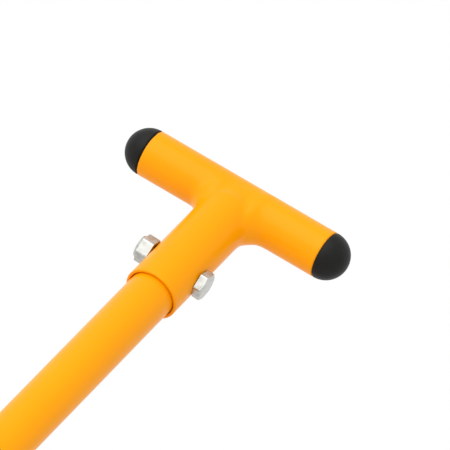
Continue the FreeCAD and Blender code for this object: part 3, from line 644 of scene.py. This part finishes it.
def cap_outline():
    """The plug's (radius, height) points from the shank's end to the dome's top."""
    points = [(0.0, -CAP_SHANK), (CAP_CORE_R, -CAP_SHANK)]
    for rib in (2, 1, 0):
        bottom = -RIB_WIDTH - RIB_SPACING * rib
        top = bottom + RIB_WIDTH
        points += [(CAP_CORE_R, bottom), (CAP_RIB_R, bottom), (CAP_RIB_R, top), (CAP_CORE_R, top)]
    points = rounded(points[:-1], 0.3, 2, closed=False)
    points += [(CAP_NECK_R, 0.0), (CAP_NECK_R, CAP_GAP)]
    dome_edge = [(CAP_NECK_R, CAP_GAP), (BAR_R, CAP_GAP), (BAR_R, CAP_GAP + 1.0)]
    points += rounded(dome_edge, 0.35, 3, closed=False)[1:-1]
    for step in range(1, DOME_STEPS + 1):
        angle = math.pi / 2 * step / DOME_STEPS
        points.append((BAR_R * math.cos(angle), CAP_GAP + BAR_R * math.sin(angle)))
    return points


for cap_name, side in (("head_cap_left", -1), ("head_cap_right", 1)):
    place = axis_frame(middle("head_crossbar") + ACROSS * side * BAR_HALF * MM, ACROSS * side)
    cap_verts, cap_faces = lathe_mesh(cap_outline(), place, segments=96, closed=False)
    add_piece(f"{cap_name}_dome", cap_verts, cap_faces, "post", "black_cap", replaces=(cap_name,),
              smooth_angle=50)
print("a cap has", len(cap_outline()), "outline points")

# %% [markdown]
# ## The post tube
#
# A long tube only needs its two rims rounded, so it is turned like the caps. It runs from
# the plug at the hinge end up into the collar, where it stops just short of the crossbar.

# %% Post tube
TUBE_R = BAR_R
TUBE_TOP = 18.0


def tube_outline(outer, bore, length, edge):
    """A tube's wall in section, with rounded rims."""
    return rounded([(bore, 0.0), (outer, 0.0), (outer, length), (bore, length)], edge, 3)


post_length = reach("post_tube", DOWN) - TUBE_TOP
post_place = axis_frame(head + DOWN * (TUBE_TOP + post_length) * MM, -DOWN)
post_verts, post_faces = lathe_mesh(tube_outline(TUBE_R, TUBE_R - TUBE_WALL, post_length, 0.4), post_place)
add_piece("post_tube_painted", post_verts, post_faces, "post", "yellow_paint", replaces=("post_tube",))
print("post length:", round(post_length, 1), "mm")

# %% [markdown]
# ## The head bolt and its locking nut
#
# A forged hexagon isn't a sharp prism: its corners are a little round and a cone turns
# them off at the outer face. Laying the head out in polar rings makes both easy, because
# the cone only lowers the points that lie outside the washer circle.

# %% Hexagon helper
HEX_SHARPNESS = 44
CHAMFER_FROM = 0.985
CHAMFER_SLOPE = 0.58
NO_LIMIT = 99.0


def hex_radius(angle, half_flats):
    """The radius of a hexagon with slightly rounded corners."""
    total = sum(abs(math.cos(angle - math.pi / 3 * side)) ** HEX_SHARPNESS for side in range(3))
    return half_flats * total ** (-1 / HEX_SHARPNESS)


def hexagon_mesh(place, half_flats, profile, spin, chamfer_at=None, segments=144):
    """Rings of a hexagon: each profile entry is (radius limit, height, follows the hexagon)."""
    verts = []
    faces = []
    rings = len(profile)
    for step in range(segments):
        angle = 2 * math.pi * step / segments
        outline = hex_radius(angle, half_flats)
        for limit, level, is_hex in profile:
            radius = min(outline, limit) if is_hex else limit
            local_z = level
            if is_hex and level == chamfer_at:
                local_z = level - max(outline - half_flats * CHAMFER_FROM, 0) * CHAMFER_SLOPE
            turned = angle + spin
            local = Vector((radius * math.cos(turned), radius * math.sin(turned), local_z)) * MM
            verts.append(place @ local)
    for step in range(segments):
        here = step * rings
        there = (step + 1) % segments * rings
        for ring in range(rings - 1):
            faces.append((here + ring, there + ring, there + ring + 1, here + ring + 1))
    return verts, faces


print("a hexagon 16 mm across flats is", round(2 * hex_radius(math.pi / 6, 8.0), 2), "mm across corners")

# %% Shapes of the bolts and nuts
BOLT_R = 5.0
HALF_FLATS = 8.0
HEX_SPIN = math.radians(8.5)
HEAD_HEIGHT = 5.4
NUT_HEIGHT = 9.7
NUT_CLEARANCE = 0.05
THREAD_LENGTH = 26.0
THREAD_PITCH = 1.5
THREAD_DEPTH = 0.75


def shank_outline(low_end, high_end):
    """A shank with thread ridges at its low end and a plain length up to its high end."""
    root = BOLT_R - THREAD_DEPTH
    points = [(0.0, low_end), (root - 0.3, low_end)]
    level = low_end + 0.6
    while level + THREAD_PITCH < min(high_end, low_end + THREAD_LENGTH):
        points += [(root, level), (BOLT_R, level + THREAD_PITCH * 0.45),
                   (BOLT_R, level + THREAD_PITCH * 0.55)]
        level += THREAD_PITCH
    points += [(root, level), (BOLT_R, level + THREAD_PITCH * 0.45), (BOLT_R, high_end)]
    return points + [(0.0, high_end)]


def head_profile(height):
    """Rings from the bearing face over the chamfer to the middle of the outer face."""
    face_r = HALF_FLATS * 0.93
    return [
        (0.0, 0.0, False),
        (HALF_FLATS * 0.95, 0.0, False),
        (NO_LIMIT, 0.25, True),
        (NO_LIMIT, height * 0.5, True),
        (NO_LIMIT, height, True),
        (face_r, height, False),
        (face_r * 0.94, height + 0.02, False),
        (0.0, height - 0.05, False),
    ]


def nut_profile(height):
    """Rings from the bore over the bearing face and the hexagon to the round crown."""
    bore = BOLT_R + NUT_CLEARANCE
    hex_height = height * 0.8
    crown = HALF_FLATS * 0.9
    return [
        (bore, 0.4, False),
        (bore + 0.5, 0.0, False),
        (HALF_FLATS * 0.95, 0.0, False),
        (NO_LIMIT, 0.3, True),
        (NO_LIMIT, hex_height * 0.5, True),
        (NO_LIMIT, hex_height, True),
        (crown + 0.35, hex_height + 0.35, False),
        (crown, height - 0.9, False),
        (crown - 0.4, height - 0.25, False),
        (crown - 1.2, height, False),
        (bore + 0.6, height, False),
        (bore + 0.2, height - 0.4, False),
        (bore, 0.4, False),
    ]


print("a nut has", len(nut_profile(NUT_HEIGHT)), "rings, a head has", len(head_profile(HEAD_HEIGHT)))


# %% The bolt and nut across the collar
def hex_bolt(name, node, body, place, seat, height, low_end):
    """A hexagon bolt along the place's Z axis: head beyond the seat, shank down to low_end."""
    head_place = place @ Matrix.Translation((0, 0, seat * MM))
    verts, faces = hexagon_mesh(head_place, HALF_FLATS, head_profile(height), HEX_SPIN, chamfer_at=height)
    shank_verts, shank_faces = lathe_mesh(shank_outline(low_end, seat - 0.05), place, segments=48,
                                          closed=False)
    faces += [tuple(index + len(verts) for index in face) for face in shank_faces]
    verts += shank_verts
    return add_piece(name, verts, faces, body, "zinc_steel", replaces=(node,), smooth_angle=32)


def lock_nut(name, node, body, place, seat, height):
    """A locking nut that bears at the seat and has a round crown at its far end."""
    nut_place = place @ Matrix.Translation((0, 0, -seat * MM)) @ Matrix.Rotation(math.pi, 4, "X")
    verts, faces = hexagon_mesh(nut_place, HALF_FLATS, nut_profile(height), -HEX_SPIN)
    return add_piece(name, verts, faces, body, "zinc_steel", replaces=(node,), smooth_angle=32)


bolt_axis = ACROSS * math.cos(BOLT_TURN) + UNDER * math.sin(BOLT_TURN)
bolt_place = axis_frame(head + DOWN * BOLT_DOWN * MM, bolt_axis, hint=DOWN)
collar_bolt = hex_bolt("collar_bolt", "head_bolt", "post", bolt_place, BOLT_SEAT, HEAD_HEIGHT,
                       -BOLT_SEAT - NUT_HEIGHT + 1.0)
collar_nut = lock_nut("collar_nut", "head_nut", "post", bolt_place, BOLT_SEAT, NUT_HEIGHT)
for bolt_piece in (collar_bolt, collar_nut):
    print(bolt_piece.name, "has", len(bolt_piece.data.vertices), "points")

# %% [markdown]
# ## The hinge bolt and the pivot bolt
#
# Both long bolts lie across the lock with a washer under each end. They are forged like the
# head bolt, so the same two functions make them, with lengths read from their solids.

# %% Bolts across the hinge and the pivot
for bolt_name, bolt_body, bolt_middle in (("hinge", "base", hinge), ("pivot", "post", pivot)):
    bolt_low, bolt_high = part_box(f"{bolt_name}_bolt")
    seat = spans(f"{bolt_name}_washers").y / 2 / MM
    cross_place = axis_frame(bolt_middle, (0, 1, 0))
    hex_bolt(f"{bolt_name}_bolt_forged", f"{bolt_name}_bolt", bolt_body, cross_place, seat,
             bolt_high[1] / MM - seat, bolt_low[1] / MM)
    lock_nut(f"{bolt_name}_nut_forged", f"{bolt_name}_nut", bolt_body, cross_place, seat,
             spans(f"{bolt_name}_nut").y / MM)
    print(bolt_name, "bolt seats at", round(seat, 2), "mm each side")

# %% [markdown]
# ## The rail's bent channel
#
# The rail is folded from plate, so its two long corners are round outside and inside.
# Bevelling the solid's corners would make the wall thin or thick at the bend. Laying out
# both sides of the bend round one centre keeps the wall even. The three bolt holes are cut
# afterwards with cylinders: two for the hinge and one for the lock bolt.

# %% Rail section and hole cutter
RAIL_WALL = 3.0
BEND_R = 4.0
BEND_STEPS = 8


def applied(piece):
    """Turn a piece's modifiers into plain mesh."""
    mesh = bpy.data.meshes.new_from_object(piece.evaluated_get(bpy.context.evaluated_depsgraph_get()))
    piece.modifiers.clear()
    piece.data = mesh


def channel_side(offset):
    """One side of the channel's section, as (across, height), `offset` inside the outer face."""
    half = spans("base_rail").y / 2 / MM
    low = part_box("base_rail")[0][2] / MM
    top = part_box("base_rail")[1][2] / MM
    radius = BEND_R - offset
    points = [(offset - half, top)]
    for step in range(BEND_STEPS + 1):
        angle = math.pi * (1 + step / BEND_STEPS / 2)
        points.append((BEND_R - half + radius * math.cos(angle), low + BEND_R + radius * math.sin(angle)))
    return points + [(-across, height) for across, height in reversed(points)]


def cut_hole(piece, radius, centre, length):
    """Cut a round hole along Y through a piece."""
    hole_verts, hole_faces = lathe_mesh([(0.0, 0.0), (radius, 0.0), (radius, length), (0.0, length)],
                                        axis_frame(centre, (0, 1, 0)), segments=64, closed=False)
    cutter = add_piece("cutter", hole_verts, hole_faces, "base", "yellow_paint")
    boolean = piece.modifiers.new("hole", "BOOLEAN")
    boolean.operation = "DIFFERENCE"
    boolean.solver = "EXACT"
    boolean.object = cutter
    bpy.context.view_layer.update()
    applied(piece)
    bpy.data.objects.remove(cutter)


print("a side of the section has", len(channel_side(0.0)), "points")

# %% Rail
HINGE_HOLE_R = 5.25
LOCK_HOLE_R = 6.25
CUT_START = 1.2
CUT_BOTH_WALLS = 96
CUT_ONE_WALL = 20
rail_low, rail_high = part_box("base_rail")
outer = channel_side(0.0)
inner = channel_side(RAIL_WALL)
rail_verts = [(x, across * MM, height * MM) for x in (rail_low[0], rail_high[0])
              for side in (outer, inner) for across, height in side]
count = len(outer)
rail_faces = []
for index in range(count - 1):
    o0, o1, i0, i1 = index, index + 1, count + index, count + index + 1
    rail_faces += [(o0, o1, o1 + 2 * count, o0 + 2 * count), (i1, i0, i0 + 2 * count, i1 + 2 * count),
                   (o0, i0, i1, o1), (o1 + 2 * count, i1 + 2 * count, i0 + 2 * count, o0 + 2 * count)]
for index in (0, count - 1):
    rail_faces.append((index, index + 2 * count, index + 3 * count, index + count))
rail = add_piece("rail_channel", rail_verts, rail_faces, "base", "yellow_paint", replaces=("base_rail",))
lock_bolt_middle = middle("lock_bolt")
beside_rail = rail_low[1] * CUT_START
cut_hole(rail, HINGE_HOLE_R, (hinge.x, beside_rail, hinge.z), CUT_BOTH_WALLS)
cut_hole(rail, LOCK_HOLE_R, (lock_bolt_middle.x, beside_rail, lock_bolt_middle.z), CUT_ONE_WALL)
rail_edge = rail.modifiers.new("soft_edges", "BEVEL")
rail_edge.width = 0.4 * MM
rail_edge.segments = 2
rail_edge.limit_method = "ANGLE"
rail_edge.angle_limit = math.radians(50)
rail_edge.harden_normals = True
print("rail channel:", len(rail.data.vertices), "points")

# %% [markdown]
# ## Weld beads
#
# Lugs, sleeves, plates and the lock box are welded on and painted over. A bead is a thin
# tube half sunk into both pieces, with the small even ripples that a welder's hand leaves.
# It could be a bump, but a real bead also shows in the outline.

# %% Bead maker
BEAD_WAVE = 2.4
BEAD_LOW = 0.88
BEAD_RISE = 0.14
BEAD_TIP = 0.02
BEAD_STEP = 0.4
BEAD_SIDES = 10


def along_path(path, closed):
    """Points spaced evenly along a path given in metres."""
    corners = list(path) + ([path[0]] if closed else [])
    points = []
    for start, end in zip(corners, corners[1:]):
        steps = max(int((end - start).length / (BEAD_STEP * MM)), 1)
        points += [start.lerp(end, step / steps) for step in range(steps)]
    return points if closed else points + [corners[-1]]


def bead_mesh(path, radius, closed=False):
    """A rippled tube along a path, with round ends if it is open."""
    points = along_path(path, closed)
    count = len(points)
    verts = []
    faces = []
    side = None
    for index, point in enumerate(points):
        before = points[index - 1] if closed or index else point
        after = points[(index + 1) % count] if closed or index < count - 1 else point
        tangent = (after - before).normalized()
        if side is None:
            side = tangent.orthogonal()
        side = (side - tangent * side.dot(tangent)).normalized()
        up_side = tangent.cross(side)
        size = radius * (BEAD_LOW + BEAD_RISE * abs(math.sin(math.pi * index * BEAD_STEP / BEAD_WAVE)))
        if not closed:
            from_end = min(index, count - 1 - index) * BEAD_STEP / radius
            size *= math.sqrt(max(1 - max(1 - from_end, 0) ** 2, BEAD_TIP))
        for step in range(BEAD_SIDES):
            angle = 2 * math.pi * step / BEAD_SIDES
            verts.append(point + (side * math.cos(angle) + up_side * math.sin(angle)) * size * MM)
    for index in range(count if closed else count - 1):
        here = index * BEAD_SIDES
        there = (index + 1) % count * BEAD_SIDES
        for step in range(BEAD_SIDES):
            following = (step + 1) % BEAD_SIDES
            faces.append((here + step, here + following, there + following, there + step))
    if not closed:
        faces.append(tuple(range(BEAD_SIDES)))
        faces.append(tuple((count - 1) * BEAD_SIDES + step for step in range(BEAD_SIDES)))
    return verts, faces


def weld_beads(name, body, beads):
    """One piece from several beads: each is (path, radius, closed)."""
    verts = []
    faces = []
    for path, radius, closed in beads:
        more_verts, more_faces = bead_mesh(path, radius, closed)
        faces += [tuple(index + len(verts) for index in face) for face in more_faces]
        verts += more_verts
    print(name, "has", len(beads), "beads")
    return add_piece(name, verts, faces, body, "yellow_paint", smooth_angle=60)


def circle(centre, axis, radius, steps=60):
    """Points round an axis."""
    place = axis_frame(centre, axis)
    turns = [2 * math.pi * step / steps for step in range(steps)]
    return [place @ (Vector((math.cos(turn), math.sin(turn), 0)) * radius * MM) for turn in turns]


print("beads are laid in steps of", BEAD_STEP, "mm")

# %% Beads on the post: lugs and hinge sleeve
LUG_EYE = 14.0
LUG_LAP = 6.0
LUG_BEAD_R = 2.1
HINGE_LUG_ENDS = (0.5, 60)
BRACE_LUG_ENDS = (-30, 30)
SLEEVE_R = 9.0
SLEEVE_BEAD_R = 1.7
LUG_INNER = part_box("hinge_lug_left")[0][1] / MM
LUG_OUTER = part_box("hinge_lug_left")[1][1] / MM
post_offset = (head - hinge).dot(-UNDER) / MM
lug_top = post_offset + LUG_LAP
pivot_along = (pivot - hinge).length / MM


def on_post_line(along, offset, sideways):
    """A place from its distance up the post, above the pins and to one side."""
    return hinge - DOWN * along * MM - UNDER * offset * MM - ACROSS * sideways * MM


def lug_line(origin, ends, sideways):
    """The lug's top edge, with a short way down each slanted edge."""
    back, front = ends
    down_share = 2 * LUG_LAP / lug_top
    height = lug_top + 0.3
    line = [(front - (front - LUG_EYE) * down_share, height - 2 * LUG_LAP), (front, height), (back, height)]
    if back < -LUG_EYE:
        line.append((back - (back + LUG_EYE) * down_share, height - 2 * LUG_LAP))
    return [on_post_line(origin + along, offset, sideways) for along, offset in line]


post_beads = []
for sign in (1, -1):
    for origin, ends in ((0, HINGE_LUG_ENDS), (pivot_along, BRACE_LUG_ENDS)):
        post_beads.append((lug_line(origin, ends, sign * LUG_INNER), LUG_BEAD_R, False))
    for sideways in (LUG_OUTER, LUG_INNER):
        centre = hinge + Vector((0, sign * sideways * MM, 0))
        post_beads.append((circle(centre, (0, 1, 0), SLEEVE_R), SLEEVE_BEAD_R, True))
weld_beads("post_welds", "post", post_beads)

# %% [markdown]
# ## The brace tube
#
# Both ends of the brace are coped, which means cut to the curve of the sleeve they meet.
# The tube is laid out as strips along its length, and each strip starts and stops where
# the formula for the sleeve's curve says. The same formula places the weld bead.

# %% Brace tube and its beads
BRACE_R = spans("brace_tube").y / 2 / MM
BRACE_WALL = 1.5
BRACE_BORE = BRACE_R - BRACE_WALL
BRACE_CUT = 6.0
BRACE_STRIPS = 72
BRACE_BEAD_R = 1.5
brace_along = (foot - pivot).normalized()
brace_up = brace_along.cross(Vector((0, 1, 0)))
brace_length = (foot - pivot).length / MM


def on_brace_line(radius, angle, from_pivot):
    """A place on a tube round the brace's axis."""
    return pivot + (brace_along * from_pivot + brace_up * radius * math.sin(angle)
                    + Vector((0, 1, 0)) * radius * math.cos(angle)) * MM


def cope(radius, angle):
    """How far from a pin the tube wall starts."""
    return math.sqrt(max(SLEEVE_R ** 2 - (radius * math.sin(angle)) ** 2, BRACE_CUT ** 2))


angles = [2 * math.pi * step / BRACE_STRIPS for step in range(BRACE_STRIPS)]
brace_verts = []
brace_faces = []
for step, angle in enumerate(angles):
    here = step * 4
    there = (step + 1) % BRACE_STRIPS * 4
    for radius in (BRACE_BORE, BRACE_R):
        start = cope(radius, angle)
        for from_pivot in (start, brace_length - start):
            brace_verts.append(on_brace_line(radius, angle, from_pivot))
    for first, second in ((0, 1), (1, 3), (3, 2), (2, 0)):
        brace_faces.append((here + first, here + second, there + second, there + first))
add_piece("brace_tube_painted", brace_verts, brace_faces, "brace", "yellow_paint", replaces=("brace_tube",))
brace_beads = []
for from_foot in (False, True):
    bead_path = []
    for angle in angles:
        start = cope(BRACE_R, angle)
        bead_path.append(on_brace_line(BRACE_R, angle, brace_length - start if from_foot else start))
    brace_beads.append((bead_path, BRACE_BEAD_R, True))
weld_beads("brace_welds", "brace", brace_beads)

# %% Beads on the base: rail on its plates, lock box on the rail
PLATE_BEAD_R = 2.3
BOX_BEAD_R = 1.9
base_beads = []


def straight_bead(start, end, radius):
    """A bead between two places, for the list of beads on the base."""
    base_beads.append(([Vector(start), Vector(end)], radius, False))


for plate in ("anchor_plate_front", "anchor_plate_rear"):
    plate_low, plate_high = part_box(plate)
    height = plate_high[2] + 0.9 * MM
    for sign in (1, -1):
        across = sign * (rail_high[1] - 1.0 * MM)
        straight_bead((plate_low[0] + 3 * MM, across, height), (plate_high[0] - 3 * MM, across, height),
                      PLATE_BEAD_R)
box_low, box_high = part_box("lock_housing")
for x in (box_low[0], box_high[0]):
    straight_bead((x, box_high[1], rail_low[2] + 5 * MM), (x, box_high[1], rail_high[2] - 2.5 * MM),
                  BOX_BEAD_R)
weld_beads("base_welds", "base", base_beads)

# %% [markdown]
# ## The cover screws
#
# The lid of the lock box is held by four low domed screws with hexagon sockets. The socket
# is laid out with the same hexagon rings as the bolts, so its six flats are real faces.
# Each screw is turned by an angle that comes from its place, as no two tighten alike.

# %% Cover screws
SCREW_HEAD_R = 4.75
SCREW_HEAD = 2.8
SCREW_RIM = 0.4
SCREW_R = 2.5
SCREW_FLAT_R = 2.1
SCREW_STEPS = 8
SOCKET_HALF = 1.5
SOCKET_FLOOR = SCREW_HEAD - 1.7
screws_low, screws_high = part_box("cover_screws")
screw_seat = screws_high[2] / MM - SCREW_HEAD
screw_end = (screws_low[2] / MM) - screw_seat
screw_profile = [
    (0.0, SOCKET_FLOOR, False),
    (NO_LIMIT, SOCKET_FLOOR + 0.02, True),
    (NO_LIMIT, SCREW_HEAD - 0.1, True),
    (SCREW_FLAT_R, SCREW_HEAD, False),
]
for step in range(1, SCREW_STEPS + 1):
    angle = math.pi / 2 * step / SCREW_STEPS
    dome_r = SCREW_FLAT_R + (SCREW_HEAD_R - SCREW_FLAT_R) * math.sin(angle)
    screw_profile.append((dome_r, SCREW_RIM + (SCREW_HEAD - SCREW_RIM) * math.cos(angle), False))
for radius, level in ((SCREW_HEAD_R, 0.0), (SCREW_R, 0.0), (SCREW_R, screw_end), (0.0, screw_end)):
    screw_profile.append((radius, level, False))
screw_verts = []
screw_faces = []
for x in (screws_low[0] / MM + SCREW_HEAD_R, screws_high[0] / MM - SCREW_HEAD_R):
    for y in (screws_low[1] / MM + SCREW_HEAD_R, screws_high[1] / MM - SCREW_HEAD_R):
        screw_place = Matrix.Translation(Vector((x, y, screw_seat)) * MM)
        screw_turn = x + y
        more_verts, more_faces = hexagon_mesh(screw_place, SOCKET_HALF, screw_profile, screw_turn,
                                              segments=96)
        screw_faces += [tuple(index + len(screw_verts) for index in face) for face in more_faces]
        screw_verts += more_verts
add_piece("cover_socket_screws", screw_verts, screw_faces, "base", "zinc_steel", replaces=("cover_screws",),
          smooth_angle=35)
print("cover screws:", len(screw_verts), "points")

# %% [markdown]
# ## Finishes and soft edges for the other solids
#
# The rest of the lock keeps its solids. Each gets the finish of its slot, and a small bevel
# that stands for the rounded edge of painted or machined steel. The bevel only acts where
# two faces meet sharply, so round surfaces stay as they are.
#
# Solids arrive as thin triangles, which would shade as dark streaks beside a bevel. So
# their points are joined and each flat is made one face first, and the large faces then
# decide the shading of the small ones.

# %% Carry the other solids over
EDGE_MM = {
    "yellow_paint": 0.5,
    "zinc_steel": 0.3,
    "galvanised_steel": 0.6,
    "nylon": 0.4,
    "buffer_rubber": 1.5,
    "black_cap": 0.4,
    "lock_brass": 0.2,
    "chrome": 0.25,
}
SAME_POINT = 1e-5
FLAT_WITHIN = math.radians(0.5)
SHARP_FROM = math.radians(35)
slot_of = {part["node"]: part["material_slot"] for part in frame["record"]["subparts"]}
for node_name, node in nodes.items():
    slot_name = slot_of[node_name]
    node.data.materials.clear()
    node.data.materials.append(SLOT_FINISH[slot_name])
    if node.hide_render:
        continue
    weld = node.modifiers.new("join_points", "WELD")
    weld.merge_threshold = SAME_POINT
    flats = node.modifiers.new("whole_flats", "DECIMATE")
    flats.decimate_type = "DISSOLVE"
    flats.angle_limit = FLAT_WITHIN
    bevel = node.modifiers.new("soft_edges", "BEVEL")
    bevel.width = EDGE_MM[slot_name] * MM
    bevel.segments = 3
    bevel.limit_method = "ANGLE"
    bevel.angle_limit = SHARP_FROM
    shading = node.modifiers.new("even_shading", "WEIGHTED_NORMAL")
    shading.mode = "FACE_AREA"
    shading.weight = 100
print("carried over:", sum(not node.hide_render for node in nodes.values()))
